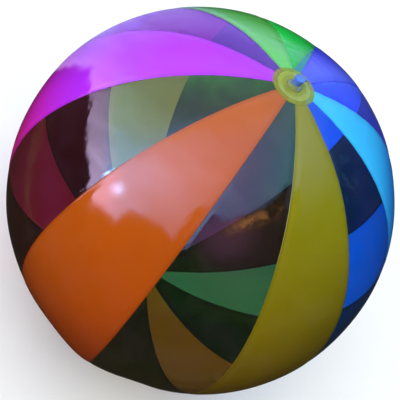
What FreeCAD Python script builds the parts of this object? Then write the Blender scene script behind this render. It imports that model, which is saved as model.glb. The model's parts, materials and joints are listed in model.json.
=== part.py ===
"""Inflatable beach ball: twelve film gores, two end discs and a push-in valve.

Each of the six colours has two gores side by side, one of clear tinted film and then, going
anticlockwise seen from the valve, one of solid-coloured film.

Frame: +Z is the ball's own axis, up through the valve. The origin is the ball's lowest point,
where it rests on the floor. +X lies along the seam between the two light blue gores.
Millimetres and degrees.
"""

import FreeCAD
import Part
import math
import os

from FreeCAD import Rotation, Vector

# Ball
EQUATOR_RADIUS = 250.0
POLE_HEIGHT = 240.0  # centre to pole: a gored ball inflates a little flatter than a sphere
FILM = 0.3
WELD_GAP = 0.02  # left between welded films, so that each piece stays a solid of its own
LAP = 3.0  # width of the welded lap between neighbouring gores
COLOURS = ("light_blue", "blue", "green", "magenta", "orange", "yellow")
GORE_ANGLE = 180.0 / len(COLOURS)  # each colour has one clear gore and one solid-coloured gore
TIP_RADIUS = 19.0  # the gores end on this circle round each pole
DISC_RADIUS = 24.5
DISC_HOLE_RADIUS = 9.0

# Valve, radii from the ball's axis and heights above the outside of the pole
FLANGE_RADIUS = 14.0
FLANGE_HOLE_RADIUS = 8.5
FLANGE_THICKNESS = 0.7
WEB_THICKNESS = 0.5
WEB_TOP = 4.5
WEB_BULGE = 0.6  # how far the web's outline stands out of the straight cone
STEM_RADIUS = 4.75
STEM_BOTTOM = -4.0
STEM_TOP = 10.4
LIP_RADIUS = 5.4
LIP_THICKNESS = 1.2
PUMP_BORE_RADIUS = 2.6
PUMP_BORE_TOP = 5.0
FLAP_SEAT_RADIUS = 3.4
FLAP_SEAT_DEPTH = 0.8
PLUG_SOCKET_RADIUS = 3.05
CAP_THICKNESS = 1.6
CAP_EDGE_ROUND = 0.5
PIN_RADIUS = 2.95
PIN_STRAIGHT = 1.2
PIN_TIP_RADIUS = 2.15
PIN_LENGTH = 4.2
STRAP_AZIMUTH = 40.0
STRAP_PIVOT_RADIUS = 8.2  # the strap bends about a line this far from the axis, level with the lip
STRAP_BEND_RADIUS = 0.6  # to the middle of the strap
STRAP_THICKNESS = 0.7
STRAP_WIDTH = 3.2
FLAP_RADIUS = 4.4
FLAP_THICKNESS = 0.6
FLAP_GAP = 0.05
FLAP_PIVOT_RADIUS = 5.3  # on the side away from the strap
FLAP_TAB_WIDTH = 3.0
LUG_CLEARANCE = 0.35  # from the flap's pivot to the stem's lug
LUG_OUTER_RADIUS = 6.6
LUG_HEIGHT = 2.5

CENTRE_HEIGHT = POLE_HEIGHT + WELD_GAP + FILM  # the far disc is the lowest piece
POLE = CENTRE_HEIGHT + POLE_HEIGHT  # the valve pole's height in the ball's frame
UP = Vector(0, 0, 1)


def ellipse_arc(level, low_radius, high_radius, through_equator):
    """A stretch of the ball's outline, moved out by level, in the XZ plane.

    It runs from low_radius up to high_radius on the valve half, or from low_radius on the far
    half, through the equator, up to high_radius on the valve half.
    """
    equator = EQUATOR_RADIUS + level
    pole = POLE_HEIGHT + level
    centre = Vector(0, 0, CENTRE_HEIGHT)
    outline = Part.Ellipse(centre + Vector(equator, 0, 0), centre + Vector(0, 0, pole), centre)
    low = math.acos(low_radius / equator)
    high = math.acos(high_radius / equator)
    return Part.Arc(outline, -low if through_equator else low, high).toShape()


def skin_face(outer_level, inner_level, low_radius, high_radius, through_equator=False):
    """The cross-section of a film layer between two levels, ready to be revolved."""
    outer = ellipse_arc(outer_level, low_radius, high_radius, through_equator)
    inner = ellipse_arc(inner_level, low_radius, high_radius, through_equator)
    ends = [
        Part.makeLine(outer.Vertexes[i].Point, inner.Vertexes[i].Point) for i in (0, 1)
    ]
    return Part.Face(Part.Wire([outer, ends[1], inner, ends[0]]))


def revolved_outline(points):
    """A solid of revolution from (radius, height above the pole) points joined by straight lines."""
    corners = [Vector(radius, 0, POLE + height) for radius, height in points]
    return Part.Face(Part.makePolygon(corners + corners[:1])).revolve(Vector(), UP, 360)


def gore(start, is_clear):
    """A gore that starts at the azimuth start. Clear film lies one thickness further in than solid colours.

    Its edges reach half a lap past both seams.
    """
    outer_level = -(FILM + WELD_GAP) if is_clear else 0.0
    section = skin_face(outer_level, outer_level - FILM, TIP_RADIUS, TIP_RADIUS, True)
    tip_margin = math.degrees(math.asin(LAP / TIP_RADIUS))
    section.rotate(Vector(), UP, start - tip_margin)
    band = section.revolve(Vector(), UP, GORE_ANGLE + 2 * tip_margin)

    # A wedge whose sides are parallel to the seams, half a lap outside them.
    half_angle = math.radians(GORE_ANGLE / 2)
    apex = Vector(-LAP / 2 / math.sin(half_angle), 0, 0)
    reach = 2 * EQUATOR_RADIUS
    corners = [
        apex,
        Vector(reach * math.cos(half_angle), -reach * math.sin(half_angle), 0) + apex,
        Vector(reach * math.cos(half_angle), reach * math.sin(half_angle), 0) + apex,
    ]
    wedge = Part.Face(Part.makePolygon(corners + corners[:1])).extrude(2 * CENTRE_HEIGHT * UP)
    wedge.rotate(Vector(), UP, start + GORE_ANGLE / 2)
    return band.common(wedge)


def valve_end_disc():
    """The round patch over the gore tips at the valve, with a hole for the valve."""
    section = skin_face(WELD_GAP + FILM, WELD_GAP, DISC_RADIUS, DISC_HOLE_RADIUS)
    return section.revolve(Vector(), UP, 360)


def far_end_disc():
    """The plain round patch over the gore tips at the other pole, cut from a ball that fits the pole."""
    bend_radius = EQUATOR_RADIUS**2 / POLE_HEIGHT
    centre = Vector(0, 0, CENTRE_HEIGHT - POLE_HEIGHT + bend_radius)
    sideways = Vector(1, 0, 0)
    outer = Part.makeSphere(bend_radius + WELD_GAP + FILM, centre, sideways)
    inner = Part.makeSphere(bend_radius + WELD_GAP, centre, sideways)
    column = Part.makeCylinder(DISC_RADIUS, CENTRE_HEIGHT, Vector(0, 0, -FILM))
    return outer.cut(inner).common(column)


def valve_flange():
    """The valve's flat rim, welded to the underside of the end disc."""
    section = skin_face(0, -FLANGE_THICKNESS, FLANGE_RADIUS, FLANGE_HOLE_RADIUS)
    return section.revolve(Vector(), UP, 360)


def valve_web():
    """The thin domed web between flange and stem, which turns inside out when the valve is pushed in."""
    low_radius = FLANGE_HOLE_RADIUS - WELD_GAP
    high_radius = STEM_RADIUS + WELD_GAP

    def side(low_height, high_height):
        low = Vector(low_radius, 0, POLE + low_height)
        high = Vector(high_radius, 0, POLE + high_height)
        middle = (low + high) * 0.5 + Vector(WEB_BULGE, 0, WEB_BULGE)
        return Part.Arc(low, middle, high).toShape()

    outside = side(0, WEB_TOP)
    inside = side(-WEB_THICKNESS, WEB_TOP - WEB_THICKNESS)
    ends = [
        Part.makeLine(outside.Vertexes[i].Point, inside.Vertexes[i].Point) for i in (0, 1)
    ]
    return Part.Face(Part.Wire([outside, ends[1], inside, ends[0]])).revolve(Vector(), UP, 360)


def valve_stem():
    """The tube, with the plug's socket, the pump bore and the flap's seat, and a lug for the flap's hinge."""
    tube = revolved_outline(
        [
            (FLAP_SEAT_RADIUS, STEM_BOTTOM),
            (STEM_RADIUS, STEM_BOTTOM),
            (STEM_RADIUS, STEM_TOP - LIP_THICKNESS),
            (LIP_RADIUS, STEM_TOP - LIP_THICKNESS),
            (LIP_RADIUS, STEM_TOP),
            (PLUG_SOCKET_RADIUS, STEM_TOP),
            (PLUG_SOCKET_RADIUS, PUMP_BORE_TOP),
            (PUMP_BORE_RADIUS, PUMP_BORE_TOP),
            (PUMP_BORE_RADIUS, STEM_BOTTOM + FLAP_SEAT_DEPTH),
            (FLAP_SEAT_RADIUS, STEM_BOTTOM + FLAP_SEAT_DEPTH),
        ]
    )
    wall_middle = (FLAP_SEAT_RADIUS + STEM_RADIUS) / 2
    lug = Part.makeBox(
        LUG_OUTER_RADIUS - wall_middle,
        FLAP_TAB_WIDTH,
        LUG_HEIGHT,
        Vector(-LUG_OUTER_RADIUS, -FLAP_TAB_WIDTH / 2, POLE + STEM_BOTTOM),
    )
    tongue_depth = FLAP_GAP + FLAP_THICKNESS
    tongue = Part.makeBox(
        LUG_OUTER_RADIUS - FLAP_PIVOT_RADIUS - LUG_CLEARANCE,
        FLAP_TAB_WIDTH,
        tongue_depth,
        Vector(-LUG_OUTER_RADIUS, -FLAP_TAB_WIDTH / 2, POLE + STEM_BOTTOM - tongue_depth),
    )
    stem = tube.fuse([lug, tongue]).removeSplitter()
    stem.rotate(Vector(), UP, STRAP_AZIMUTH)
    return stem


def check_flap():
    """The flap that closes the stem's lower end, with a rounded tab on its hinge line."""
    top = POLE + STEM_BOTTOM - FLAP_GAP
    bottom = top - FLAP_THICKNESS
    disc = Part.makeCylinder(FLAP_RADIUS, FLAP_THICKNESS, Vector(0, 0, bottom))
    tab = Part.makeBox(
        FLAP_PIVOT_RADIUS,
        FLAP_TAB_WIDTH,
        FLAP_THICKNESS,
        Vector(-FLAP_PIVOT_RADIUS, -FLAP_TAB_WIDTH / 2, bottom),
    )
    knuckle = Part.makeCylinder(
        FLAP_THICKNESS / 2,
        FLAP_TAB_WIDTH,
        Vector(-FLAP_PIVOT_RADIUS, -FLAP_TAB_WIDTH / 2, (top + bottom) / 2),
        Vector(0, 1, 0),
    )
    flap = disc.fuse([tab, knuckle]).removeSplitter()
    flap.rotate(Vector(), UP, STRAP_AZIMUTH)
    return flap


def plug():
    """The stopper: a round cap on the lip and a tapered pin that can swing out of the socket."""
    underside = STEM_TOP + WELD_GAP
    cap_top = STEM_TOP + CAP_THICKNESS
    body = revolved_outline(
        [
            (0, cap_top),
            (LIP_RADIUS, cap_top),
            (LIP_RADIUS, underside),
            (PIN_RADIUS, underside),
            (PIN_RADIUS, STEM_TOP - PIN_STRAIGHT),
            (PIN_TIP_RADIUS, STEM_TOP - PIN_LENGTH),
            (0, STEM_TOP - PIN_LENGTH),
        ]
    )
    rim = [
        edge
        for edge in body.Edges
        if isinstance(edge.Curve, Part.Circle)
        and abs(edge.Curve.Radius - LIP_RADIUS) < WELD_GAP
        and abs(edge.Curve.Center.z - POLE - cap_top) < WELD_GAP
    ]
    return body.makeFillet(CAP_EDGE_ROUND, rim)


def plug_strap():
    """The strap from the stem's lip round to the plug's cap, a flat band in a U."""
    inner = STRAP_BEND_RADIUS - STRAP_THICKNESS / 2
    outer = STRAP_BEND_RADIUS + STRAP_THICKNESS / 2
    pivot = Vector(STRAP_PIVOT_RADIUS, -STRAP_WIDTH / 2, POLE + STEM_TOP)
    across = Vector(0, 1, 0)
    bend = Part.makeCylinder(outer, STRAP_WIDTH, pivot, across)
    arms = Part.makeBox(
        STRAP_PIVOT_RADIUS, STRAP_WIDTH, 2 * outer, pivot - Vector(STRAP_PIVOT_RADIUS, 0, outer)
    )
    hollow = Part.makeCylinder(inner, STRAP_WIDTH, pivot, across)
    slot = Part.makeBox(
        STRAP_PIVOT_RADIUS, STRAP_WIDTH, 2 * inner, pivot - Vector(STRAP_PIVOT_RADIUS, 0, inner)
    )
    valve_space = Part.makeCylinder(
        LIP_RADIUS + WELD_GAP, 4 * outer, Vector(0, 0, POLE + STEM_TOP - 2 * outer)
    )
    strap = bend.fuse(arms).cut(hollow.fuse([slot, valve_space])).removeSplitter()
    strap.rotate(Vector(), UP, STRAP_AZIMUTH)
    return strap


def strap_direction():
    """Unit vector from the ball's axis towards the strap."""
    return Rotation(UP, STRAP_AZIMUTH).multVec(Vector(1, 0, 0))


def export(name, shape):
    solids = shape.Solids
    if len(solids) != 1 or not solids[0].isValid():
        raise ValueError(f"{name} is not one valid solid")
    solids[0].exportStep(f"parts/{name}.step")


def main():
    os.makedirs("parts", exist_ok=True)
    for index, colour in enumerate(COLOURS):
        seam = 2 * index * GORE_ANGLE
        export("gore_clear_" + colour, gore(seam - GORE_ANGLE, True))
        export("gore_" + colour, gore(seam, False))
    export("valve_end_disc", valve_end_disc())
    export("far_end_disc", far_end_disc())
    export("valve_flange", valve_flange())
    export("valve_web", valve_web())
    export("valve_stem", valve_stem())
    export("check_flap", check_flap())
    export("plug", plug())
    export("plug_strap", plug_strap())

    strap_pivot = strap_direction() * STRAP_PIVOT_RADIUS + UP * (POLE + STEM_TOP)
    flap_height = POLE + STEM_BOTTOM - FLAP_GAP - FLAP_THICKNESS / 2
    flap_pivot = strap_direction() * -FLAP_PIVOT_RADIUS + UP * flap_height
    print("pole height", POLE)
    print("strap hinge at", strap_pivot, "flap hinge at", flap_pivot)
    print("hinge direction", Rotation(UP, STRAP_AZIMUTH).multVec(Vector(0, 1, 0)))


main()
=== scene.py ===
"""The beach ball's looks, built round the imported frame.

Lengths are in millimetres until MM turns them into metres. Picture axes are the photograph's right, up and
backward (towards the camera) directions.
"""

import json
import math

import bmesh
import bpy
import numpy as np
from mathutils import Matrix, Vector

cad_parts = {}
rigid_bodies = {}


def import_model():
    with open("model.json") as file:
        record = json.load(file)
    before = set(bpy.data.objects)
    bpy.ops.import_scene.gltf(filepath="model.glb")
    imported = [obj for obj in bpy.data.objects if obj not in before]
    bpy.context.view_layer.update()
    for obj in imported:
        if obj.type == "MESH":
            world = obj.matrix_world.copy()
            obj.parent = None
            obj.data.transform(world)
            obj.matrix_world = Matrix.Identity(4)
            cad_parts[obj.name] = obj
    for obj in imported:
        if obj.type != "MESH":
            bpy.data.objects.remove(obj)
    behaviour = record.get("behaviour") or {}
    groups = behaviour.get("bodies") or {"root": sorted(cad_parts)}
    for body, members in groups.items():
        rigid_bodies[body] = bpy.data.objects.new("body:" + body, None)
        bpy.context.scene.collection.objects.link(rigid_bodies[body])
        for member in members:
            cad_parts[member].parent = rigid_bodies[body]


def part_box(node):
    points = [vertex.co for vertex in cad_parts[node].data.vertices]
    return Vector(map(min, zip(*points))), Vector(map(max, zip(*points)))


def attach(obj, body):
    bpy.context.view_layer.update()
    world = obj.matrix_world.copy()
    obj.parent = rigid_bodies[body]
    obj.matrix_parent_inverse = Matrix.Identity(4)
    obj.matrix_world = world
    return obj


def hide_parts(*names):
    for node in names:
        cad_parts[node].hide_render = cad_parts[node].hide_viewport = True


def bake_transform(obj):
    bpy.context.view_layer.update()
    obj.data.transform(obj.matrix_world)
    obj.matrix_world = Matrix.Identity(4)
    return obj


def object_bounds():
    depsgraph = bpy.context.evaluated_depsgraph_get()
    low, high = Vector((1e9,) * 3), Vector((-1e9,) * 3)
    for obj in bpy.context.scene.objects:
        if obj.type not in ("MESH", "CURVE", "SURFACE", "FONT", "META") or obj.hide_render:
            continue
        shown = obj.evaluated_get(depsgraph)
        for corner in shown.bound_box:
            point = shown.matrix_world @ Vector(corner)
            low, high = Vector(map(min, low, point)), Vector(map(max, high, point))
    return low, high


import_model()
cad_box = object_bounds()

MM = 0.001

# The ball. Its two boxes are read from the frame, and the rest are the part's own sizes.
BALL_LOW, BALL_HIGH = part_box("gore_orange")
DISC_LOW, DISC_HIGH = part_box("valve_end_disc")
FILM = 0.3
WELD_GAP = 0.02
LAP = 3.0
COLOURS = ("light_blue", "blue", "green", "magenta", "orange", "yellow")
SEAM_COUNT = 2 * len(COLOURS)
GORE_ANGLE = math.pi / len(COLOURS)
CENTRE_HEIGHT = (BALL_LOW.z + BALL_HIGH.z) / 2 / MM
EQUATOR_RADIUS = (cad_box[1].x - cad_box[0].x) / 2 / MM
POLE_HEIGHT = CENTRE_HEIGHT - FILM - WELD_GAP
POLE = CENTRE_HEIGHT + POLE_HEIGHT
TIP_RADIUS = 19.0
DISC_RADIUS = (DISC_HIGH.x - DISC_LOW.x) / 2 / MM
DISC_HOLE_RADIUS = 9.0

# The valve, radii from the ball's axis and heights above the pole
FLANGE_RADIUS = 14.0
FLANGE_HOLE_RADIUS = 8.5
FLANGE_THICKNESS = 0.7
WEB_THICKNESS = 0.5
WEB_TOP = 4.5
WEB_BULGE = 0.6
STEM_RADIUS = 4.75
STEM_BOTTOM = -4.0
STEM_TOP = 10.4
STEM_RING_HEIGHT = 0.14
LIP_RADIUS = 5.4
LIP_THICKNESS = 1.2
PUMP_BORE_RADIUS = 2.6
PUMP_BORE_TOP = 5.0
FLAP_SEAT_RADIUS = 3.4
FLAP_SEAT_DEPTH = 0.8
PLUG_SOCKET_RADIUS = 3.05
CAP_THICKNESS = 1.6
PIN_RADIUS = 2.95
PIN_STRAIGHT = 1.2
PIN_TIP_RADIUS = 2.15
PIN_LENGTH = 4.2
STRAP_AZIMUTH = math.radians(40)
STRAP_PIVOT_RADIUS = 8.2
STRAP_BEND_RADIUS = 0.6
STRAP_THICKNESS = 0.7
STRAP_WIDTH = 3.2
FLAP_RADIUS = 4.4
FLAP_THICKNESS = 0.6
FLAP_GAP = 0.05
FLAP_PIVOT_RADIUS = 5.3
FLAP_TAB_WIDTH = 3.0
LUG_OUTER_RADIUS = 6.6
LUG_HEIGHT = 2.5

# The photograph's viewing angle
VALVE_TILT = math.radians(38.34)  # between the valve's axis and the line of sight
VALVE_LEAN = math.radians(50.71)  # clockwise from the picture's top to the valve
SEAM_TURN = math.radians(4.36)
VIEW_DISTANCE = 3.139  # in equator radii
VIEW_DROP = 0.006  # the camera's height below the ball's centre, in equator radii
LENS = 52.58
SHIFT_RIGHT = -0.005


def view_basis():
    """The picture's right, up and backward directions as vectors in the part's frame."""
    st, ct = math.sin(VALVE_TILT), math.cos(VALVE_TILT)
    sl, cl = math.sin(VALVE_LEAN), math.cos(VALVE_LEAN)
    sa, ca = math.sin(SEAM_TURN), math.cos(SEAM_TURN)
    back = Vector((-st * sa, -st * ca, ct))
    right = Vector((ca * sl + sa * ct * cl, -sa * sl + ca * ct * cl, st * cl))
    return right, back.cross(right), back


RIGHT, UP, BACK = view_basis()


def smooth_step(value, low, high):
    t = np.clip((value - low) / (high - low), 0, 1)
    return t * t * (3 - 2 * t)


# ---------------------------------------------------------------- meshes


def new_piece(name, points, faces, materials, face_slots=None, body="shell", slot=None, replaces=None):
    """A smooth mesh piece from points in millimetres."""
    mesh = bpy.data.meshes.new(name)
    mesh.from_pydata((np.asarray(points) * MM).tolist(), [], [list(f) for f in faces])
    mesh.validate()
    for material in materials:
        mesh.materials.append(material)
    if face_slots is not None:
        mesh.polygons.foreach_set("material_index", np.asarray(face_slots, np.int32))
    mesh.polygons.foreach_set("use_smooth", np.ones(len(mesh.polygons), bool))
    mesh.update()
    piece = bpy.data.objects.new(name, mesh)
    bpy.context.scene.collection.objects.link(piece)
    if body:
        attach(piece, body)
    if replaces:
        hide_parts(replaces)
    return piece


def quads_over(index):
    """Quads over a grid of point numbers."""
    corners = (index[:-1, :-1], index[:-1, 1:], index[1:, 1:], index[1:, :-1])
    return np.stack([c.ravel() for c in corners], axis=1)


def grid_faces(rows, columns, first=0, flip=False):
    """Quads over a rows by columns grid of points numbered row by row."""
    quads = quads_over(first + np.arange(rows * columns).reshape(rows, columns))
    return quads[:, ::-1] if flip else quads


def rim_faces(rows, columns, inner_first):
    """Quads that close the gap between an outer and an inner grid along their common outline."""
    index = np.arange(rows * columns).reshape(rows, columns)
    loop = np.concatenate([index[0, :-1], index[:-1, -1], index[-1, :0:-1], index[:0:-1, 0]])
    following = np.roll(loop, -1)
    return np.stack([following, loop, loop + inner_first, following + inner_first], axis=1)


def face_outward(piece):
    """Turn the faces of a closed piece so that they all look out of it."""
    shape = bmesh.new()
    shape.from_mesh(piece.data)
    bmesh.ops.recalc_face_normals(shape, faces=shape.faces)
    shape.to_mesh(piece.data)
    shape.free()


def store(piece, name, values):
    """Keep a number for each point, for the materials to read."""
    piece.data.attributes.new(name, "FLOAT", "POINT").data.foreach_set(
        "value", np.asarray(values, np.float32).ravel()
    )


def softened(corners, rounding=0.2, steps=4):
    """A closed outline of (radius, height) corners with each corner eased into a small curve."""
    corners = np.asarray(corners, float)
    eased = []
    for i, corner in enumerate(corners):
        if corner[0] == 0:
            eased.append(corner)
            continue
        ends = []
        for other in (corners[i - 1], corners[(i + 1) % len(corners)]):
            way = other - corner
            length = np.linalg.norm(way)
            ends.append(corner + way / length * min(rounding, 0.45 * length))
        for t in np.linspace(0, 1, steps + 1):
            eased.append((1 - t) ** 2 * ends[0] + 2 * t * (1 - t) * corner + t**2 * ends[1])
    return np.array(eased)


def upright(radius, height, azimuth):
    """A place on the valve from a radius, a height above the pole and an azimuth."""
    return np.stack([radius * np.cos(azimuth), radius * np.sin(azimuth), POLE + height], axis=-1)


def turned(name, outline, materials, place=upright, columns=128, **settings):
    """A closed piece round the ball's axis. An outline that touches the axis starts and ends there."""
    outline = np.asarray(outline)
    solid = bool(outline[0, 0] == 0)
    rings = outline[1:-1] if solid else outline
    azimuth = np.linspace(0, 2 * math.pi, columns, endpoint=False)[None, :]
    radius = np.broadcast_to(rings[:, :1], (len(rings), columns))
    height = np.broadcast_to(rings[:, 1:], (len(rings), columns))
    points = place(radius, height, np.broadcast_to(azimuth, radius.shape)).reshape(-1, 3)
    index = np.arange(len(points)).reshape(len(rings), columns)
    if not solid:
        index = np.concatenate([index, index[:1]])
    index = np.concatenate([index, index[:, :1]], axis=1)
    faces = quads_over(index).tolist()
    if solid:
        ends = [place(np.zeros(1), outline[i, 1:], np.zeros(1)) for i in (0, -1)]
        first, last = len(points), len(points) + 1
        points = np.concatenate([points] + ends)
        faces += [[first, index[0, i + 1], index[0, i]] for i in range(columns)]
        faces += [[last, index[-1, i], index[-1, i + 1]] for i in range(columns)]
    piece = new_piece(name, points, faces, materials, **settings)
    face_outward(piece)
    return piece


WAVES = np.random.RandomState(7)
WOBBLE_WAYS = WAVES.normal(size=(9, 3))
WOBBLE_WAYS /= np.linalg.norm(WOBBLE_WAYS, axis=1)[:, None]
WOBBLE_LENGTHS = WAVES.uniform(70, 150, 9)
WOBBLE_PHASES = WAVES.uniform(0, 2 * math.pi, 9)
PUCKER_LENGTHS = (13.0, 19.0, 31.0, 47.0)
PUCKER_PHASES = WAVES.uniform(0, 2 * math.pi, (SEAM_COUNT, len(PUCKER_LENGTHS)))
WOBBLE_HEIGHT = 0.12
CREASE_DEPTH = 0.45
CREASE_WIDTH = 4.0
# Where the soft film is out of round: a direction in picture axes, how far it stands out, and how wide it is
DENTS = (
    ((-0.32, -0.89, 0.32), -4.0, 15.0),
    ((-0.58, -0.75, 0.32), 4.5, 42.0),
    ((-0.85, 0.43, 0.32), -1.5, 60.0),
    ((0.80, 0.51, 0.32), 2.0, 70.0),
    ((0.70, -0.64, 0.32), -1.5, 100.0),
)


def film_relief(lat, azimuth, points):
    """How far the film stands out of the smooth ball, in millimetres."""
    radius = EQUATOR_RADIUS * np.cos(lat)
    seam = np.round(azimuth / GORE_ANGLE)
    across = radius * (azimuth - seam * GORE_ANGLE)
    off_seam = np.abs(across)
    along = lat * (EQUATOR_RADIUS + POLE_HEIGHT) / 2
    which = seam.astype(int) % SEAM_COUNT

    crease = -CREASE_DEPTH * np.exp(-((off_seam / CREASE_WIDTH) ** 2))
    pucker = np.zeros_like(lat)
    for i, length in enumerate(PUCKER_LENGTHS):
        pucker += np.sin(2 * math.pi * along / length + PUCKER_PHASES[which, i] + across / 9.0)
    near_pole = np.abs(np.sin(lat)) ** 6
    pucker *= (0.03 + 0.07 * near_pole) * np.exp(-off_seam / 12.0) * np.minimum(1, off_seam / 2.0 + 0.3)
    at_seams = (crease + pucker) * smooth_step(radius, DISC_RADIUS, DISC_RADIUS + 18)

    wobble = np.zeros_like(lat)
    for way, length, phase in zip(WOBBLE_WAYS, WOBBLE_LENGTHS, WOBBLE_PHASES):
        wobble += np.sin(2 * math.pi * (points @ way) / length + phase)
    wobble *= WOBBLE_HEIGHT * smooth_step(radius, DISC_HOLE_RADIUS, 2 * DISC_RADIUS)

    dents = np.zeros_like(lat)
    for (right, up, back), height, width in DENTS:
        way = (RIGHT * right + UP * up + BACK * back).normalized()
        off = np.linalg.norm(points - np.array(way) * EQUATOR_RADIUS, axis=-1)
        dents += height * np.exp(-((off / width) ** 2))
    return at_seams + wobble + dents


def film_points(lat, azimuth, level):
    """Points of the film at a level above the coloured film's outside."""
    flat = np.stack([np.cos(lat) * np.cos(azimuth), np.cos(lat) * np.sin(azimuth), np.sin(lat)], axis=-1)
    axes = np.array([EQUATOR_RADIUS, EQUATOR_RADIUS, POLE_HEIGHT])
    smooth = flat * axes
    outward = flat / axes
    outward /= np.linalg.norm(outward, axis=-1, keepdims=True)
    stand = level + film_relief(lat, azimuth, smooth)
    return smooth + outward * np.asarray(stand)[..., None] + np.array([0, 0, CENTRE_HEIGHT])


GORE_ROWS = 240
GORE_COLUMNS = 45


def gore(colour, is_clear, outside, inside):
    """One gore as a closed shell of film, with its laps."""
    name = ("gore_clear_" if is_clear else "gore_") + colour
    level = -(FILM + WELD_GAP) if is_clear else 0.0
    start = (2 * COLOURS.index(colour) - is_clear) * GORE_ANGLE
    tip = math.acos(TIP_RADIUS / EQUATOR_RADIUS)
    lat = np.linspace(-tip, tip, GORE_ROWS)[:, None]
    w = np.linspace(0, 1, GORE_COLUMNS)[None, :]
    across = 0.45 * w + 0.55 * (1 - np.cos(math.pi * w)) / 2
    margin = np.arcsin(LAP / 2 / (EQUATOR_RADIUS * np.cos(lat)))
    azimuth = start - margin + across * (GORE_ANGLE + 2 * margin)
    lat = np.broadcast_to(lat, azimuth.shape)
    outer = film_points(lat, azimuth, level).reshape(-1, 3)
    inner = film_points(lat, azimuth, level - FILM).reshape(-1, 3)
    count = len(outer)
    faces = np.concatenate([
        grid_faces(GORE_ROWS, GORE_COLUMNS),
        rim_faces(GORE_ROWS, GORE_COLUMNS, count),
        grid_faces(GORE_ROWS, GORE_COLUMNS, count, flip=True),
    ])
    shell_quads = (GORE_ROWS - 1) * (GORE_COLUMNS - 1)
    slots = np.zeros(len(faces), int)
    slots[-shell_quads:] = 1
    piece = new_piece(
        name + "_film", np.concatenate([outer, inner]), faces, [outside, inside], slots,
        slot=name.replace("gore", "film"), replaces=name,
    )
    edge = EQUATOR_RADIUS * np.cos(lat) * np.minimum(azimuth - azimuth[:, :1], azimuth[:, -1:] - azimuth)
    store(piece, "edge_mm", np.tile(edge.ravel(), 2))
    store(piece, "along_mm", np.tile((lat * EQUATOR_RADIUS).ravel(), 2))
    return piece


def on_skin(side):
    """A place function for pieces that lie on the film at one pole, heights being levels above the film."""

    def place(radius, level, azimuth):
        lat = side * np.arccos(radius / EQUATOR_RADIUS)
        return film_points(lat, azimuth, level)

    return place


def groove(radius, at, width, depth):
    """A shallow pressed ring, as a change of height."""
    return -depth * np.exp(-(((radius - at) / width) ** 2))


# The end patches' pressed weld rings: radius, width and depth
PRESSED_RINGS = (
    (DISC_RADIUS - 1.5, 0.35, 0.13),
    (DISC_RADIUS - 4.6, 0.30, 0.10),
    (FLANGE_RADIUS - 0.6, 0.30, 0.12),
    (FLANGE_RADIUS - 2.2, 0.30, 0.10),
)


def disc(name, side, hole_radius, material):
    """A round end patch with its pressed weld rings and a soft rolled edge."""
    low, high = WELD_GAP, WELD_GAP + FILM
    radii = np.linspace(max(hole_radius, 0.6), DISC_RADIUS - 0.15, 110)
    top = np.full(len(radii), high)
    for at, width, depth in PRESSED_RINGS:
        top += groove(radii, at, width, depth)
    upper = np.stack([radii, top], axis=1)
    lower = np.stack([radii[::-1], np.full(len(radii), low)], axis=1)
    rim = [(DISC_RADIUS, high - 0.1), (DISC_RADIUS, low + 0.06)]
    outline = np.concatenate([upper, rim, lower])
    if hole_radius == 0:
        outline = np.concatenate([[(0, high)], outline, [(0, low)]])
    return turned(
        name + "_vinyl", outline, [material], on_skin(side), 192, slot="disc_vinyl", replaces=name,
    )


def valve_flange(material):
    """The ring that welds the valve to the back of the end patch."""
    corners = [(FLANGE_HOLE_RADIUS, 0), (FLANGE_RADIUS, 0), (FLANGE_RADIUS, -FLANGE_THICKNESS),
               (FLANGE_HOLE_RADIUS, -FLANGE_THICKNESS)]
    outline = softened(corners, 0.25)
    turned("valve_flange_vinyl", outline, [material], on_skin(1), slot="disc_vinyl", replaces="valve_flange")


def valve_web(material):
    """The domed web with three soft rings where it folds, between the shell and the stem."""
    low = np.array([FLANGE_HOLE_RADIUS - WELD_GAP, 0.0])
    high = np.array([STEM_RADIUS + WELD_GAP, WEB_TOP])
    t = np.linspace(0, 1, 40)[:, None]
    bow = 4 * t * (1 - t)
    outside = low + (high - low) * t + bow * WEB_BULGE + 0.07 * bow * np.cos(6 * math.pi * t)
    inside = outside[::-1] - np.array([0, WEB_THICKNESS])
    outline = np.concatenate([outside, inside])
    piece = turned(
        "valve_web_vinyl", outline, [material], body=None, slot="disc_vinyl", replaces="valve_web",
    )
    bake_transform(piece)


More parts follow.
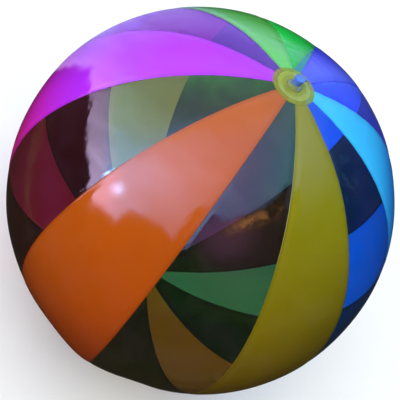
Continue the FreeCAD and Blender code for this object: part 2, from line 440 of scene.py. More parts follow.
def valve_stem(material):
    """The tube with its lip, sockets and three faint moulded rings, and the lug for the flap."""
    rings = []
    crest = STEM_RADIUS + STEM_RING_HEIGHT
    for at in (WEB_TOP + 1.2, WEB_TOP + 2.4, WEB_TOP + 3.6):
        rings += [(STEM_RADIUS, at - 0.3), (crest, at - 0.12), (crest, at + 0.12), (STEM_RADIUS, at + 0.3)]
    corners = [
        (FLAP_SEAT_RADIUS, STEM_BOTTOM),
        (STEM_RADIUS, STEM_BOTTOM),
        *rings,
        (STEM_RADIUS, STEM_TOP - LIP_THICKNESS),
        (LIP_RADIUS, STEM_TOP - LIP_THICKNESS),
        (LIP_RADIUS, STEM_TOP),
        (PLUG_SOCKET_RADIUS, STEM_TOP),
        (PLUG_SOCKET_RADIUS, PUMP_BORE_TOP),
        (PUMP_BORE_RADIUS, PUMP_BORE_TOP),
        (PUMP_BORE_RADIUS, STEM_BOTTOM + FLAP_SEAT_DEPTH),
        (FLAP_SEAT_RADIUS, STEM_BOTTOM + FLAP_SEAT_DEPTH),
    ]
    outline = softened(corners, 0.22, 3)
    turned("valve_stem_vinyl", outline, [material], body="stem", slot="valve_vinyl", replaces="valve_stem")

    wall_middle = (FLAP_SEAT_RADIUS + STEM_RADIUS) / 2
    block = bmesh.new()
    bmesh.ops.create_cube(block, size=1)
    size = (LUG_OUTER_RADIUS - wall_middle, FLAP_TAB_WIDTH, LUG_HEIGHT)
    bmesh.ops.scale(block, vec=size, verts=block.verts)
    bmesh.ops.bevel(block, geom=block.edges, offset=0.3, segments=3, profile=0.5, affect="EDGES")
    middle = Vector((-(LUG_OUTER_RADIUS + wall_middle) / 2, 0, POLE + STEM_BOTTOM + LUG_HEIGHT / 2))
    turn = Matrix.Rotation(STRAP_AZIMUTH, 4, "Z") @ Matrix.Translation(middle)
    bmesh.ops.transform(block, matrix=turn, verts=block.verts)
    points = [v.co[:] for v in block.verts]
    faces = [[v.index for v in f.verts] for f in block.faces]
    block.free()
    new_piece("flap_lug", points, faces, [material], body="stem", slot="valve_vinyl")


def plug(material):
    """The stopper: a crowned cap with a moulding dimple, and a tapered pin."""
    underside = STEM_TOP + WELD_GAP
    cap_top = STEM_TOP + CAP_THICKNESS
    radii = np.linspace(0, LIP_RADIUS - 0.9, 24)
    crown = cap_top - 0.02 - 0.35 * np.exp(-((radii / 1.3) ** 2)) + groove(radii, 3.4, 0.3, 0.12)
    top = np.stack([radii, crown], axis=1)[::-1]
    sides = softened([
        (0, underside),
        (PIN_TIP_RADIUS, STEM_TOP - PIN_LENGTH),
        (PIN_RADIUS, STEM_TOP - PIN_STRAIGHT),
        (PIN_RADIUS, underside),
        (LIP_RADIUS, underside),
        (LIP_RADIUS, cap_top),
        (0, cap_top),
    ], 0.5)[1:-1]
    outline = np.concatenate([[(0, STEM_TOP - PIN_LENGTH)], sides, top])
    turned("plug_vinyl", outline, [material], body="plug", slot="valve_vinyl", replaces="plug")


def plug_strap(material):
    """The strap from the lip round to the cap: a flat band with rounded edges, between stem and plug."""
    reach = STRAP_PIVOT_RADIUS - LIP_RADIUS
    arm = np.linspace(-reach, 0, 8)
    turn = np.linspace(-math.pi / 2, math.pi / 2, 25)[1:-1]
    lower = [(x, -STRAP_BEND_RADIUS, 0, -1) for x in arm]
    bend = [(STRAP_BEND_RADIUS * math.cos(a), STRAP_BEND_RADIUS * math.sin(a), math.cos(a), math.sin(a))
            for a in turn]
    upper = [(x, STRAP_BEND_RADIUS, 0, 1) for x in arm[::-1]]
    spine = np.array(lower + bend + upper)
    half_width, half_thick = STRAP_WIDTH / 2, STRAP_THICKNESS / 2
    around = np.linspace(0, 2 * math.pi, 24, endpoint=False)
    power = 0.35
    side = half_width * np.sign(np.cos(around)) * np.abs(np.cos(around)) ** power
    lift = half_thick * np.sign(np.sin(around)) * np.abs(np.sin(around)) ** power
    along = np.linspace(0, 1, len(spine))
    waist = 1 - 0.18 * np.sin(math.pi * along)
    x = STRAP_PIVOT_RADIUS + spine[:, :1] + spine[:, 2:3] * lift
    z = POLE + STEM_TOP + spine[:, 1:2] + spine[:, 3:] * lift
    y = waist[:, None] * side[None, :]
    ca, sa = math.cos(STRAP_AZIMUTH), math.sin(STRAP_AZIMUTH)
    points = np.stack([x * ca - y * sa, x * sa + y * ca, np.broadcast_to(z, y.shape)], axis=-1)
    points = points.reshape(-1, 3)
    rows, columns = y.shape
    index = np.arange(rows * columns).reshape(rows, columns)
    index = np.concatenate([index, index[:, :1]], axis=1)
    faces = quads_over(index).tolist()
    faces += [list(range(columns))[::-1], list(range((rows - 1) * columns, rows * columns))]
    piece = new_piece(
        "plug_strap_vinyl", points, faces, [material], body=None, slot="valve_vinyl", replaces="plug_strap",
    )
    face_outward(piece)
    pivot = upright(STRAP_PIVOT_RADIUS, STEM_TOP, STRAP_AZIMUTH)
    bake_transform(piece)


def check_flap(material):
    """A thin disc with soft edges that grows into its hinge tab."""
    top = STEM_BOTTOM - FLAP_GAP
    bottom = top - FLAP_THICKNESS
    edge = softened([(0, bottom), (FLAP_RADIUS, bottom), (FLAP_RADIUS, top), (0, top)], 0.25)

    def with_tab(radius, height, azimuth):
        from_tab = azimuth - STRAP_AZIMUTH - math.pi
        ahead = np.maximum(np.cos(from_tab), 1e-3)
        aside = np.maximum(np.abs(np.sin(from_tab)), 1e-3)
        tab = np.minimum((FLAP_PIVOT_RADIUS + FLAP_THICKNESS / 2) / ahead, FLAP_TAB_WIDTH / 2 / aside)
        grown = np.where(np.cos(from_tab) > 0, np.maximum(tab, FLAP_RADIUS), FLAP_RADIUS) / FLAP_RADIUS
        return upright(radius * grown, height, azimuth)

    turned("check_flap_vinyl", edge, [material], with_tab, 160, body="flap", slot="valve_vinyl",
           replaces="check_flap")


# ---------------------------------------------------------------- materials


PAINTED_LOW_SHADE = (0.85, 0.55, 0.4)  # painted shade: what the lowest film's colour is multiplied by, darker and warmer towards the floor
# painted shade that darkens the solid film where it is seen edge-on, at the rim
PAINTED_RIM_SHADE = (0.2, 0.15, 0.15)
KNURL_PITCH = 1.2
SOLID_GLOW_SHARE = 0.12  # of a solid film's light, what comes through from its other side
CLEAR_SHARE_FROM_INSIDE = 0.95  # how opaque a clear film is to a ray that meets it from inside, where it shows painted surroundings and sky
CLEAR_SHARE_IN_SHADOW = 0.15  # how opaque it is to a ray that looks for a lamp
DISC_SEE_IN_SHADOW = 0.85  # how much the end patch lets such a ray through


class Nodes:
    """Short calls for building a node material."""

    def __init__(self, tree):
        self.tree = tree
        tree.nodes.clear()

    def add(self, kind, inputs=None, **settings):
        node = self.tree.nodes.new(kind)
        for key, value in settings.items():
            setattr(node, key, value)
        for key, value in (inputs or {}).items():
            self.feed(node.inputs[key], value)
        return node

    def feed(self, socket, value):
        if hasattr(value, "is_output"):
            self.tree.links.new(value, socket)
        elif isinstance(value, bpy.types.Node):
            self.tree.links.new(value.outputs[0], socket)
        else:
            if isinstance(value, (tuple, list)) and len(value) == 3 and socket.type == "RGBA":
                value = (*value, 1)
            socket.default_value = value

    def maths(self, operation, a, b=0.0, c=0.0, clamp=False):
        node = self.add("ShaderNodeMath", {0: a, 1: b, 2: c}, operation=operation)
        node.use_clamp = clamp
        return node.outputs[0]

    def ramp(self, value, low, high, at_low=0.0, at_high=1.0, smooth=True):
        node = self.add("ShaderNodeMapRange", {0: value, 1: low, 2: high, 3: at_low, 4: at_high})
        node.interpolation_type = "SMOOTHSTEP" if smooth else "LINEAR"
        return node.outputs[0]

    def bell(self, value, centre, width):
        """A soft hump of height 1 at centre."""
        off = self.maths("DIVIDE", self.maths("SUBTRACT", value, centre), width)
        return self.maths("EXPONENT", self.maths("MULTIPLY", self.maths("MULTIPLY", off, off), -1.0))

    def blend(self, share, a, b, mode="MIX"):
        node = self.add("ShaderNodeMix", data_type="RGBA", blend_type=mode)
        self.feed(node.inputs[0], share)
        self.feed(node.inputs[6], a)
        self.feed(node.inputs[7], b)
        return node.outputs[2]

    def number(self, share, a, b):
        """A number that goes from a to b with share."""
        node = self.add("ShaderNodeMix", data_type="FLOAT")
        self.feed(node.inputs[0], share)
        self.feed(node.inputs[2], a)
        self.feed(node.inputs[3], b)
        return node.outputs[0]

    def noise(self, scale, detail=2.0, where=None, roughness=0.5, distortion=0.0):
        node = self.add(
            "ShaderNodeTexNoise",
            {"Scale": scale, "Detail": detail, "Roughness": roughness, "Distortion": distortion},
        )
        if where is not None:
            self.feed(node.inputs["Vector"], where)
        return node.outputs["Fac"]

    def along(self, way, direction):
        """How far the vector way reaches in a direction."""
        return self.add(
            "ShaderNodeVectorMath", {0: way, 1: tuple(direction)}, operation="DOT_PRODUCT"
        ).outputs["Value"]

    def attribute(self, name):
        return self.add("ShaderNodeAttribute", attribute_name=name).outputs["Fac"]

    def mix(self, share, a, b):
        return self.add("ShaderNodeMixShader", {0: share, 1: a, 2: b}).outputs[0]

    def out(self, shader):
        self.add("ShaderNodeOutputMaterial", {"Surface": shader})


def new_material(name):
    material = bpy.data.materials.new(name)
    material.use_nodes = True
    return material, Nodes(material.node_tree)


def shade(colour, factor):
    return tuple(factor * c for c in colour)


def edge_on(n, power):
    """0 where the film faces the ray, rising to 1 where it is seen edge-on."""
    facing = n.add("ShaderNodeLayerWeight", {"Blend": 0.5}).outputs["Facing"]
    return n.maths("POWER", facing, power)


def on_lap(n):
    """1 on the welded lap along a gore's edges, and 0 away from it."""
    return n.ramp(n.attribute("edge_mm"), 2.4, 3.4, 1.0, 0.0)


def schlick(n, head_on):
    """A film's mirror share, the same from both sides."""
    fifth = edge_on(n, 5.0)
    return n.maths("MULTIPLY_ADD", fifth, 1 - head_on, head_on)


def film_bump(n, position, fine=0.012, broad=0.05, crinkle=0.0):
    """The film's faint orange peel, slack ripples and crinkles, and the knurled weld along its seams."""
    peel = n.noise(420.0, 2.0, position)
    slack = n.noise(26.0, 3.0, position, distortion=0.4)
    weld = n.ramp(n.attribute("edge_mm"), 2.4, 3.2, 1.0, 0.0)
    knurl = n.maths("SINE", n.maths("MULTIPLY", n.attribute("along_mm"), 2 * math.pi / KNURL_PITCH))
    knurl = n.maths("MULTIPLY", weld, knurl)
    first = n.add("ShaderNodeBump", {"Strength": fine, "Distance": 0.001, "Height": peel})
    second = n.add(
        "ShaderNodeBump", {"Strength": 0.12, "Distance": 0.0002, "Height": knurl, "Normal": first}
    )
    if crinkle:
        stretched = n.add("ShaderNodeVectorMath", {0: position, 1: (90, 90, 30)}, operation="MULTIPLY")
        folds = n.noise(1.0, 3.0, stretched.outputs[0], distortion=0.8)
        second = n.add(
            "ShaderNodeBump", {"Strength": crinkle, "Distance": 0.001, "Height": folds, "Normal": second}
        )
    return n.add("ShaderNodeBump", {"Strength": broad, "Distance": 0.004, "Height": slack, "Normal": second})


def from_centre(n, position, direction):
    """How far a point lies from the ball's centre in a direction, as a share of the radius."""
    middle = (0, 0, CENTRE_HEIGHT * MM)
    offset = n.add("ShaderNodeVectorMath", {0: position, 1: middle}, operation="SUBTRACT").outputs[0]
    return n.along(offset, direction / (EQUATOR_RADIUS * MM))


def solid_film(name, outside, inside, left_rim_painted_light=None, right_rim_painted_shade=None, inside_right_painted_light=None):
    """Nearly opaque glossy film. Painted shade makes it darker at the rim, and darker and warmer near the
    floor.
    """
    material, n = new_material(name)
    geometry = n.add("ShaderNodeNewGeometry")
    position = geometry.outputs["Position"]
    to_right = from_centre(n, position, RIGHT)
    cloud = n.noise(14.0, 3.0, position)
    lap = on_lap(n)
    tint = n.blend(n.ramp(cloud, 0.3, 0.7), shade(outside, 0.95), shade(outside, 1.03))
    # painted warm light on the picture's left rim, and painted shade on its right rim
    tint = n.blend(n.ramp(to_right, -0.5, -0.95), tint, left_rim_painted_light or outside)
    tint = n.blend(n.ramp(to_right, 0.75, 1.0), tint, right_rim_painted_shade or outside)
    # painted shade: the film's colour turns darker and warmer towards the floor
    low = n.ramp(from_centre(n, position, UP), 0.2, -1.05)
    tint = n.blend(low, tint, PAINTED_LOW_SHADE, "MULTIPLY")
    # painted shade: darker where the film is seen edge-on, towards the rim
    rim = n.maths("MULTIPLY", edge_on(n, 3.0), 0.45)
    tint = n.blend(rim, tint, PAINTED_RIM_SHADE, "MULTIPLY")
    tint = n.blend(n.maths("MULTIPLY", lap, 0.25), tint, shade(outside, 0.6))
    # painted light and shade: the inner side, seen on the far film, has its own colours in place of the
    # light that reaches it, with another painted colour towards the picture's right where given
    painted_far_side = n.blend(n.ramp(to_right, 0.25, 0.75), inside, inside_right_painted_light or inside)
    shown = n.blend(geometry.outputs["Backfacing"], tint, painted_far_side)
    bump = film_bump(n, position)
    rough = n.ramp(n.noise(30.0, 4.0, position), 0.35, 0.7, 0.09, 0.14)
    front = n.add(
        "ShaderNodeBsdfPrincipled",
        {"Base Color": shown, "Roughness": rough, "IOR": 1.5, "Normal": bump},
    )
    through = n.add("ShaderNodeBsdfTranslucent", {"Color": shown, "Normal": bump})
    n.out(n.mix(SOLID_GLOW_SHARE, front.outputs[0], through.outputs[0]))
    return material


def clear_film(name, tint, haze, haze_share, painted_surroundings, sky):
    """See-through tinted film.

    From outside it tints what lies behind it and adds a little haze. To a ray from inside it is nearly
    opaque, and shows painted dark surroundings and a painted bright sky above them in place of the view
    through the ball.
    """
    material, n = new_material(name)
    geometry = n.add("ShaderNodeNewGeometry")
    position = geometry.outputs["Position"]
    from_inside = geometry.outputs["Backfacing"]
    path = n.add("ShaderNodeLightPath")
    lap = on_lap(n)

    height = from_centre(n, position, UP)
    leaves = n.noise(9.0, 4.0, position, distortion=0.6)
    # painted shade and light on the far film: dark surroundings with a leafy pattern, and a bright sky
    # towards the top
    dark = n.blend(n.ramp(leaves, 0.35, 0.65), shade(painted_surroundings, 0.6), shade(painted_surroundings, 1.35))
    sky_share = n.ramp(n.maths("MULTIPLY_ADD", leaves, 0.3, height), 0.75, 1.1)
    painted_outlook = n.blend(sky_share, dark, sky)
    body_colour = n.blend(from_inside, haze, painted_outlook)

    near_share = n.maths("MULTIPLY_ADD", lap, 0.12, haze_share)
    near_share = n.maths("MULTIPLY_ADD", edge_on(n, 3.0), 0.35, near_share, clamp=True)
    share = n.number(from_inside, near_share, CLEAR_SHARE_FROM_INSIDE)
    share = n.number(path.outputs["Is Shadow Ray"], share, CLEAR_SHARE_IN_SHADOW)
    bump = film_bump(n, position, broad=0.14, crinkle=0.10)
    clear = n.add("ShaderNodeBsdfTransparent", {"Color": tint})
    body = n.add("ShaderNodeBsdfDiffuse", {"Color": body_colour, "Normal": bump})
    glowing = n.add("ShaderNodeBsdfTranslucent", {"Color": body_colour, "Normal": bump})
    mirror = n.add(
        "ShaderNodeBsdfAnisotropic",
        {"Color": (1.0, 1.0, 1.0), "Roughness": 0.07, "Normal": bump},
    )
    film = n.mix(0.35, body.outputs[0], glowing.outputs[0])
    mirror_share = n.maths("MULTIPLY", schlick(n, 0.04), n.ramp(from_inside, 0.0, 1.0, 1.0, 0.1))
    n.out(n.mix(mirror_share, n.mix(share, clear.outputs[0], film), mirror.outputs[0]))
    return material


def film_lining():
    """The inner face of every gore, which only adds a faint gleam."""
    material, n = new_material("film_lining")
    position = n.add("ShaderNodeNewGeometry").outputs["Position"]
    rough = n.ramp(n.noise(30.0, 4.0, position), 0.35, 0.7, 0.12, 0.2)
    clear = n.add("ShaderNodeBsdfTransparent", {"Color": (1.0, 1.0, 1.0)})
    mirror = n.add("ShaderNodeBsdfAnisotropic", {"Color": (1.0, 1.0, 1.0), "Roughness": rough})
    n.out(n.mix(0.02, clear.outputs[0], mirror.outputs[0]))
    return material


def soft_vinyl(name, colour, tint, see, grain=0.0, see_beyond=None, see_above=None):
    """Soft translucent moulded or pressed vinyl.

    see is how much it lets through. see_beyond is that share outside the gore tips' circle, and see_above is
    that share at the top of the web.
    """
    material, n = new_material(name)
    position = n.add("ShaderNodeNewGeometry").outputs["Position"]
    cloud = n.noise(140.0, 3.0, position)
    shown = n.blend(n.ramp(cloud, 0.3, 0.7), shade(colour, 0.92), shade(colour, 1.05))
    peel = n.noise(900.0, 2.0, position)
    bump = n.add("ShaderNodeBump", {"Strength": 0.03 + grain, "Distance": 0.0004, "Height": peel})
    bump = n.add("ShaderNodeBump", {"Strength": 0.03, "Distance": 0.002, "Height": cloud, "Normal": bump})
    rough = n.ramp(cloud, 0.3, 0.7, 0.16, 0.26)
    front = n.add("ShaderNodeBsdfPrincipled", {"Base Color": shown, "Roughness": rough, "Normal": bump})
    through = n.add("ShaderNodeBsdfTranslucent", {"Color": shown, "Normal": bump})
    clear = n.add("ShaderNodeBsdfTransparent", {"Color": tint})
    if see_beyond is not None:
        flat = n.add("ShaderNodeVectorMath", {0: position, 1: (1, 1, 0)}, operation="MULTIPLY").outputs[0]
        radius = n.add("ShaderNodeVectorMath", {0: flat}, operation="LENGTH").outputs["Value"]
        see = n.ramp(radius, (TIP_RADIUS - 0.4) * MM, (TIP_RADIUS + 0.4) * MM, see, see_beyond)
        path = n.add("ShaderNodeLightPath")
        see = n.number(path.outputs["Is Shadow Ray"], see, DISC_SEE_IN_SHADOW)
    if see_above is not None:
        height = n.along(position, (0, 0, 1))
        see = n.ramp(height, (POLE + 0.8) * MM, (POLE + 3.2) * MM, see, see_above)
    n.out(n.mix(see, n.mix(0.3, front.outputs[0], through.outputs[0]), clear.outputs[0]))
    return material


# ---------------------------------------------------------------- the pieces

# The solid film's colour outside; with painted warm light at the picture's left rim and painted shade at its
# right rim where these differ; inside, as painted light and shade; and inside at the picture's right where
# it differs, painted too
SOLID_FILMS = {
    "light_blue": dict(outside=(0.040, 0.53, 1.00), right_rim_painted_shade=(0.0, 0.17, 0.80),
                       inside=(0.036, 0.22, 0.64), inside_right_painted_light=(0.0, 0.20, 0.62)),
    "blue": dict(outside=(0.07, 0.09, 0.97), inside=(0.06, 0.03, 0.80), inside_right_painted_light=(0.02, 0.20, 1.00)),
    "green": dict(outside=(0.12, 0.58, 0.10), inside=(0.24, 0.74, 0.20)),
    "magenta": dict(outside=(0.47, 0.020, 0.97), left_rim_painted_light=(0.85, 0.014, 0.30),
                    inside=(0.20, 0.015, 0.12), inside_right_painted_light=(0.30, 0.03, 0.60)),
    "orange": dict(outside=(0.46, 0.088, 0.004), inside=(0.45, 0.08, 0.01)),
    "yellow": dict(outside=(0.24, 0.228, 0.004), inside=(0.17, 0.10, 0.03)),
}

# The clear film's tint, its haze and how much of it, and the painted dark surroundings and painted sky that
# it shows to a ray from inside in place of the view through the ball
CLEAR_FILMS = {
    "light_blue": dict(tint=(0.03, 0.42, 0.95), haze=(0.00, 0.02, 0.05), haze_share=0.10,
                       painted_surroundings=(0.004, 0.010, 0.015), sky=(0.01, 0.03, 0.08)),
    "blue": dict(tint=(0.45, 0.32, 1.00), haze=(0.05, 0.07, 1.00), haze_share=0.22,
                 painted_surroundings=(0.006, 0.008, 0.012), sky=(0.01, 0.02, 0.10)),
    "green": dict(tint=(0.12, 0.85, 0.45), haze=(0.02, 0.62, 0.12), haze_share=0.20,
                  painted_surroundings=(0.015, 0.035, 0.03), sky=(0.05, 1.00, 0.10)),
    "magenta": dict(tint=(0.95, 0.05, 0.75), haze=(0.19, 0.0, 0.80), haze_share=0.36,
                    painted_surroundings=(0.008, 0.006, 0.012), sky=(0.20, 0.10, 0.50)),
    "orange": dict(tint=(0.65, 0.25, 0.15), haze=(0.02, 0.008, 0.010), haze_share=0.15,
                   painted_surroundings=(0.006, 0.006, 0.006), sky=(0.03, 0.02, 0.02)),
    "yellow": dict(tint=(0.62, 0.46, 0.07), haze=(0.012, 0.012, 0.012), haze_share=0.12,
                   painted_surroundings=(0.006, 0.010, 0.008), sky=(0.03, 0.04, 0.03)),
}

lining = film_lining()
for colour in COLOURS:
    gore(colour, False, solid_film("film_" + colour, **SOLID_FILMS[colour]), lining)
    gore(colour, True, clear_film("film_clear_" + colour, **CLEAR_FILMS[colour]), lining)

disc_vinyl = soft_vinyl("disc_vinyl", (0.33, 0.38, 0.055), (1.0, 1.0, 0.8), 0.30, 0.04, see_beyond=0.45)
web_vinyl = soft_vinyl("web_vinyl", (0.38, 0.44, 0.10), (0.97, 0.98, 0.85), 0.30, see_above=0.66)
valve_vinyl = soft_vinyl("valve_vinyl", (0.14, 0.32, 0.95), (0.6, 0.75, 1.0), 0.12)
disc("valve_end_disc", 1, DISC_HOLE_RADIUS, disc_vinyl)
disc("far_end_disc", -1, 0, disc_vinyl)
valve_flange(web_vinyl)
valve_web(web_vinyl)
valve_stem(valve_vinyl)
plug(valve_vinyl)
plug_strap(valve_vinyl)
check_flap(valve_vinyl)


# ---------------------------------------------------------------- stage


def floor():
    """A plain pale floor, which the ball doesn't mirror."""
    mesh = bpy.data.meshes.new("floor")
    half = 30.0  # metres
    corners = [(-half, -half, 0), (half, -half, 0), (half, half, 0), (-half, half, 0)]
    mesh.from_pydata(corners, [], [(0, 1, 2, 3)])
    material, n = new_material("floor")
    position = n.add("ShaderNodeNewGeometry").outputs["Position"]
    grey = n.ramp(n.noise(6.0, 4.0, position), 0.3, 0.7, 0.88, 0.90)
    colour = n.add("ShaderNodeCombineColor", {0: grey, 1: grey, 2: grey})
    plain = n.add("ShaderNodeBsdfPrincipled", {"Base Color": colour, "Roughness": 0.7})
    n.out(plain.outputs[0])
    mesh.materials.append(material)
    piece = bpy.data.objects.new("floor", mesh)
    bpy.context.scene.collection.objects.link(piece)
    piece.visible_glossy = False
    piece.visible_diffuse = False
    piece.visible_shadow = False
    floor_pieces.objects.link(piece)


# Crowns and gaps of the mirrored tree line: place across, width and rise
TREE_CROWNS = (
    (-0.47, 0.06, 0.07),
    (-0.37, 0.05, -0.02),
    (-0.29, 0.035, 0.03),
    (-0.11, 0.045, -0.09),
    (0.03, 0.035, 0.06),
)


def sky_outline(n, across, height, leaves, from_middle):
    """Where the mirrored map shows open sky: 1 above and beside the trees, and less towards the rim."""
    tree_line = n.maths("MULTIPLY_ADD", n.ramp(across, 0.18, 0.42), 0.18, -0.07)
    tree_line = n.maths("MULTIPLY_ADD", n.ramp(across, 0.5, 0.7), 0.22, tree_line)
    for crown, width, rise in TREE_CROWNS:
        tree_line = n.maths("MULTIPLY_ADD", n.bell(across, crown, width), rise, tree_line)
    tree_line = n.maths("MULTIPLY_ADD", leaves, 0.22, tree_line)
    spread = n.ramp(across, 0.40, 0.50, 0.0, 0.30)
    low_edge = n.maths("SUBTRACT", -0.012, spread)
    high_edge = n.maths("ADD", 0.022, spread)
    above = n.ramp(n.maths("SUBTRACT", height, tree_line), low_edge, high_edge)
    tree_side = n.maths("MULTIPLY_ADD", leaves, 0.10, -0.505)
    beside = n.ramp(n.maths("SUBTRACT", across, tree_side), -0.006, 0.012)
    tree_top = n.maths("MULTIPLY_ADD", leaves, 0.16, 0.64)
    over = n.ramp(n.maths("SUBTRACT", height, tree_top), -0.01, 0.02)
    share = n.maths("MAXIMUM", n.maths("MULTIPLY", above, beside), over)
    out_right = n.maths("MULTIPLY_ADD", across, 0.45, height)
    share = n.maths("MULTIPLY", share, n.ramp(out_right, 0.90, 1.02, 1.0, 0.0))
    share = n.maths("MULTIPLY", share, n.ramp(across, 0.42, 0.85, 1.0, 0.06))
    return n.maths("MULTIPLY", share, n.ramp(from_middle, 0.82, 1.0, 1.0, 0.3))


def sky_light(n, across, height, tilted):
    """The mirrored sky: its colours, its soft clouds, and the sun's glow and glint."""
    sunward = n.bell(across, -0.45, 0.19)
    sunward = n.maths("MULTIPLY", sunward, n.ramp(height, 0.40, 0.65, 1.0, 0.15))
    halo = n.maths("MULTIPLY", n.bell(across, -0.28, 0.30), n.bell(height, 0.12, 0.22))
    glint = n.maths("MULTIPLY", n.bell(across, -0.37, 0.026), n.bell(height, 0.07, 0.022))
    strength = n.maths("MULTIPLY_ADD", sunward, 5.0, 2.1)
    strength = n.maths("MULTIPLY_ADD", halo, 6.0, strength)
    strength = n.maths("MULTIPLY_ADD", glint, 40.0, strength)
    sky = n.blend(n.ramp(across, -0.1, 0.3), (0.30, 0.54, 1.0), (0.38, 0.60, 1.0))
    sky = n.blend(n.ramp(height, 0.25, 0.45), sky, (0.42, 0.66, 0.74))
    sky = n.blend(n.ramp(across, -0.34, -0.46), sky, (0.80, 0.62, 1.0))
    sky = n.blend(n.ramp(height, 0.60, 0.75), sky, (0.50, 0.42, 1.0))
    clouds = n.noise(9.0, 4.0, tilted, 0.6, 0.8)
    strength = n.maths("MULTIPLY", strength, n.ramp(clouds, 0.3, 0.7, 0.84, 1.16))
    scaled = n.add("ShaderNodeVectorMath", {0: sky}, operation="SCALE")
    n.feed(scaled.inputs["Scale"], strength)
    return scaled.outputs[0]


def ground_light(n, across, height, leaves, from_middle, tilted):
    """The mirrored ground and trees: dark, with dusk light, a low streak of sun and gaps between leaves."""
    ground = n.blend(n.ramp(leaves, -0.1, 0.12), (0.06, 0.08, 0.05), (0.16, 0.14, 0.15))
    dusk = n.maths("MULTIPLY", n.bell(across, 0.13, 0.13), n.bell(height, -0.16, 0.10))
    ground = n.blend(dusk, ground, (1.1, 0.45, 0.85))
    streak = n.maths("MULTIPLY_ADD", n.maths("SUBTRACT", across, 0.26), -0.35, height)
    low_sun = n.maths("MULTIPLY", n.bell(across, 0.26, 0.10), n.bell(streak, -0.055, 0.030))
    low_sun = n.maths("MULTIPLY", low_sun, n.ramp(leaves, -0.12, 0.05))
    ground = n.blend(low_sun, ground, (6.5, 2.6, 0.9))
    ground = n.blend(n.ramp(from_middle, 0.70, 0.95), ground, (0.02, 0.02, 0.015))
    gaps = n.maths("MULTIPLY", n.bell(across, 0.68, 0.07), n.bell(height, 0.10, 0.12))
    gaps = n.maths("MULTIPLY", gaps, n.ramp(n.noise(38.0, 2.0, tilted, 0.5), 0.52, 0.66))
    return n.blend(gaps, ground, (0.5, 1.1, 1.3))


def world():
    """Soft light all round, and a separate outdoor map for what the film mirrors.

    The mirrored map is laid out as a mirror ball seen by the camera: across goes from -1 at the picture's
    left rim to 1 at its right, and height from -1 at the bottom to 1 at the top.
    """
    made = bpy.data.worlds.new("studio")
    bpy.context.scene.world = made
    made.use_nodes = True
    n = Nodes(made.node_tree)
    way = n.add("ShaderNodeTexCoord").outputs["Generated"]
    halfway = n.add("ShaderNodeVectorMath", {0: way, 1: tuple(BACK)}, operation="ADD").outputs[0]
    halfway = n.add("ShaderNodeVectorMath", {0: halfway}, operation="NORMALIZE").outputs[0]
    across = n.along(halfway, RIGHT)
    height = n.along(halfway, UP)
    place = n.add("ShaderNodeCombineXYZ", {0: across, 1: height, 2: 0.0}).outputs[0]
    from_middle = n.add("ShaderNodeVectorMath", {0: place}, operation="LENGTH").outputs["Value"]
    leaves = n.maths("SUBTRACT", n.noise(7.0, 4.0, place, 0.6), 0.5)
    tilted = n.add("ShaderNodeCombineXYZ", {
        0: n.maths("MULTIPLY_ADD", across, 0.8, height),
        1: n.maths("MULTIPLY_ADD", height, -0.24, n.maths("MULTIPLY", across, 0.3)),
        2: 0.0,
    }).outputs[0]

    sky_share = sky_outline(n, across, height, leaves, from_middle)
    ground = ground_light(n, across, height, leaves, from_middle, tilted)
    mirrored = n.blend(sky_share, ground, sky_light(n, across, height, tilted))

    lift = n.maths("MULTIPLY_ADD", n.along(way, RIGHT), 0.5, n.maths("MULTIPLY", n.along(way, UP), 0.85))
    dome = n.blend(n.ramp(lift, -0.7, 0.8), (0.12, 0.05, 0.025), (0.26, 0.34, 0.36))
    path = n.add("ShaderNodeLightPath")
    seen = n.blend(path.outputs["Is Glossy Ray"], dome, mirrored)
    seen = n.blend(path.outputs["Is Camera Ray"], seen, (0.9, 0.9, 0.9))
    background = n.add("ShaderNodeBackground", {"Color": seen, "Strength": 1.0})
    n.add("ShaderNodeOutputWorld", {"Surface": background.outputs[0]})


def area_light(name, direction, distance, size, power, colour):
    """A soft square lamp for the ball alone, looking at its centre from a direction in picture axes."""
    lamp = bpy.data.lights.new(name, "AREA")
    lamp.shape = "SQUARE"
    lamp.size = size
    lamp.energy = power
    lamp.color = colour
    piece = bpy.data.objects.new(name, lamp)
    way = (RIGHT * direction[0] + UP * direction[1] + BACK * direction[2]).normalized()
    piece.location = Vector((0, 0, CENTRE_HEIGHT * MM)) + way * distance
    piece.rotation_euler = way.to_track_quat("Z", "Y").to_euler()
    piece.visible_glossy = False
    piece.visible_camera = False
    bpy.context.scene.collection.objects.link(piece)
    piece.light_linking.receiver_collection = ball_pieces


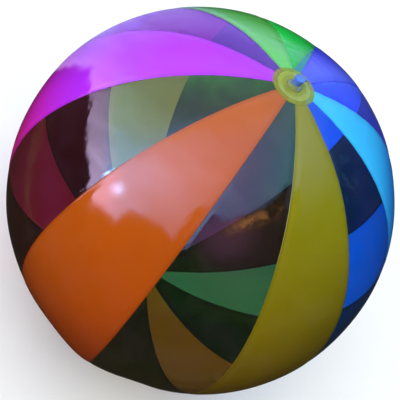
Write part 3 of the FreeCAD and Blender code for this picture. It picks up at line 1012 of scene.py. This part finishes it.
def floor_light(strength):
    """Even soft light from above for the floor alone."""
    lamp = bpy.data.lights.new("floor_light", "SUN")
    lamp.energy = strength
    lamp.angle = math.radians(70)
    piece = bpy.data.objects.new("floor_light", lamp)
    way = (Vector((0, 0, 1)) + RIGHT * -0.15 + BACK * 0.35).normalized()
    piece.rotation_euler = way.to_track_quat("Z", "Y").to_euler()
    piece.visible_glossy = False
    bpy.context.scene.collection.objects.link(piece)
    piece.light_linking.receiver_collection = floor_pieces


def inner_light(power):
    """A lamp at the ball's centre, for the daylight that finds its way inside."""
    lamp = bpy.data.lights.new("inside", "POINT")
    lamp.shadow_soft_size = 0.08
    lamp.energy = power
    piece = bpy.data.objects.new("inside", lamp)
    piece.location = (0, 0, CENTRE_HEIGHT * MM)
    piece.visible_glossy = False
    piece.visible_camera = False
    piece.visible_transmission = False
    bpy.context.scene.collection.objects.link(piece)
    piece.light_linking.receiver_collection = ball_pieces


def camera():
    """The camera at the photograph's viewing angle."""
    eye = bpy.data.objects.new("camera", bpy.data.cameras.new("camera"))
    eye.data.lens = LENS
    eye.data.shift_x = SHIFT_RIGHT
    eye.data.clip_start = 0.01
    centre = Vector((0, 0, CENTRE_HEIGHT * MM))
    reach = EQUATOR_RADIUS * MM
    place = centre + BACK * (VIEW_DISTANCE * reach) - UP * (VIEW_DROP * reach)
    axes = Matrix((RIGHT, UP, BACK)).transposed().to_4x4()
    eye.matrix_world = Matrix.Translation(place) @ axes
    bpy.context.scene.collection.objects.link(eye)
    bpy.context.scene.camera = eye


ball_pieces = bpy.data.collections.new("ball_pieces")
for piece in bpy.context.scene.objects:
    if piece.type == "MESH":
        ball_pieces.objects.link(piece)

floor_pieces = bpy.data.collections.new("floor_pieces")
floor()
world()
area_light("key", (-0.20, 0.22, 0.95), distance=2.4, size=1.4, power=56.0, colour=(1.0, 0.98, 0.95))
area_light("right", (0.85, 0.35, 0.30), distance=1.5, size=0.8, power=10.0, colour=(0.35, 0.65, 1.0))
floor_light(strength=3.0)
inner_light(power=2.4)
camera()
bpy.context.scene.view_settings.view_transform = "Standard"
